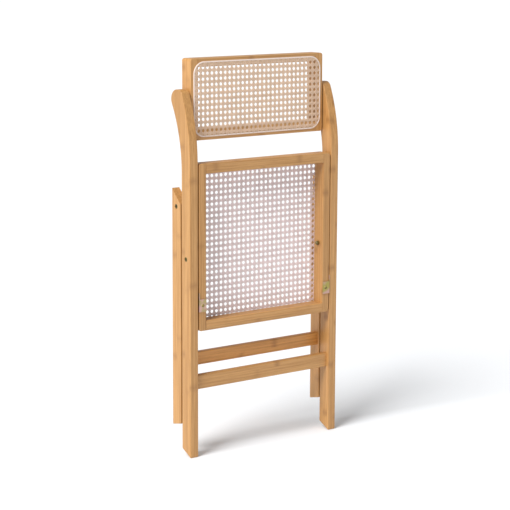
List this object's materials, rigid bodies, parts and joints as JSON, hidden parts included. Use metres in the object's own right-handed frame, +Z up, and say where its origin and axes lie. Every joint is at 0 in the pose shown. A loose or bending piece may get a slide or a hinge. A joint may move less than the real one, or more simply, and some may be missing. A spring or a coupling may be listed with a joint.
{
  "type": "folding chair",
  "caption": "Folding chair folded flat: bamboo legs curved at the top, cane seat and tilting cane backrest, with rear legs driven by guide pins in curved slots.",
  "frame": {"origin": "on the floor, at the centre of the folded chair's outline from above; the long legs' feet touch the floor along their front edges", "axes": "+X across the chair to its right as seen by a person facing its front, +Y from its front (the side of the seat's underside when folded) to its back, +Z up along the long legs"},
  "size_m": [0.42, 0.0777, 0.9011],
  "materials": {
    "bamboo_legs": "satin clear lacquer on laminated bamboo",
    "bamboo_frames": "satin clear lacquer on laminated bamboo",
    "dowel_wood": "plain turned wood",
    "cane": "natural woven cane",
    "spline": "pale reed",
    "dark_steel": "darkened steel",
    "zinc_steel": "yellow zinc plated steel",
    "nylon": "plain nylon"
  },
  "bodies": {
    "front_frame": {"left_long_leg": "bamboo_legs", "right_long_leg": "bamboo_legs", "front_rung": "bamboo_frames", "front_rung_dowels": "dowel_wood", "left_seat_pivot_bolt": "dark_steel", "right_seat_pivot_bolt": "dark_steel", "left_seat_pivot_nut": "dark_steel", "right_seat_pivot_nut": "dark_steel", "seat_pivot_washers": "nylon", "left_hinge_plate": "zinc_steel", "right_hinge_plate": "zinc_steel", "hinge_plate_screws": "zinc_steel", "left_rear_pivot_bolt": "dark_steel", "right_rear_pivot_bolt": "dark_steel", "left_backrest_pin": "dark_steel", "right_backrest_pin": "dark_steel", "backrest_washers": "nylon"},
    "seat": {"left_seat_rail": "bamboo_frames", "right_seat_rail": "bamboo_frames", "seat_front_rail": "bamboo_frames", "seat_rear_rail": "bamboo_frames", "seat_dowels": "dowel_wood", "seat_cane": "cane", "seat_spline": "spline", "left_seat_bracket": "zinc_steel", "right_seat_bracket": "zinc_steel", "left_guide_pin": "dark_steel", "right_guide_pin": "dark_steel", "seat_bracket_screws": "zinc_steel"},
    "rear_frame": {"left_rear_leg": "bamboo_legs", "right_rear_leg": "bamboo_legs", "rear_rung": "bamboo_frames", "rear_rung_dowels": "dowel_wood"},
    "backrest": {"left_back_stile": "bamboo_legs", "right_back_stile": "bamboo_legs", "back_top_rail": "bamboo_legs", "back_bottom_rail": "bamboo_legs", "back_dowels": "dowel_wood", "back_cane": "cane", "back_spline": "spline"}
  },
  "joints": [
    {"name": "seat_fold", "type": "hinge", "parent": "front_frame", "child": "seat", "pos_m": [0, -0.0187, 0.457], "axis": [1, 0, 0], "range_deg": [0, 112]},
    {"name": "rear_leg_spread", "type": "hinge", "parent": "front_frame", "child": "rear_frame", "pos_m": [0, 0.0193, 0.572], "axis": [1, 0, 0], "range_deg": [0, 39]},
    {"name": "backrest_tilt", "type": "hinge", "parent": "front_frame", "child": "backrest", "pos_m": [0, 0.01185, 0.81], "axis": [1, 0, 0], "range_deg": [-10, 20]}
  ],
  "couplings": [
    {"joint": "rear_leg_spread", "follows": "seat_fold", "ratio": 0.34821}
  ]
}
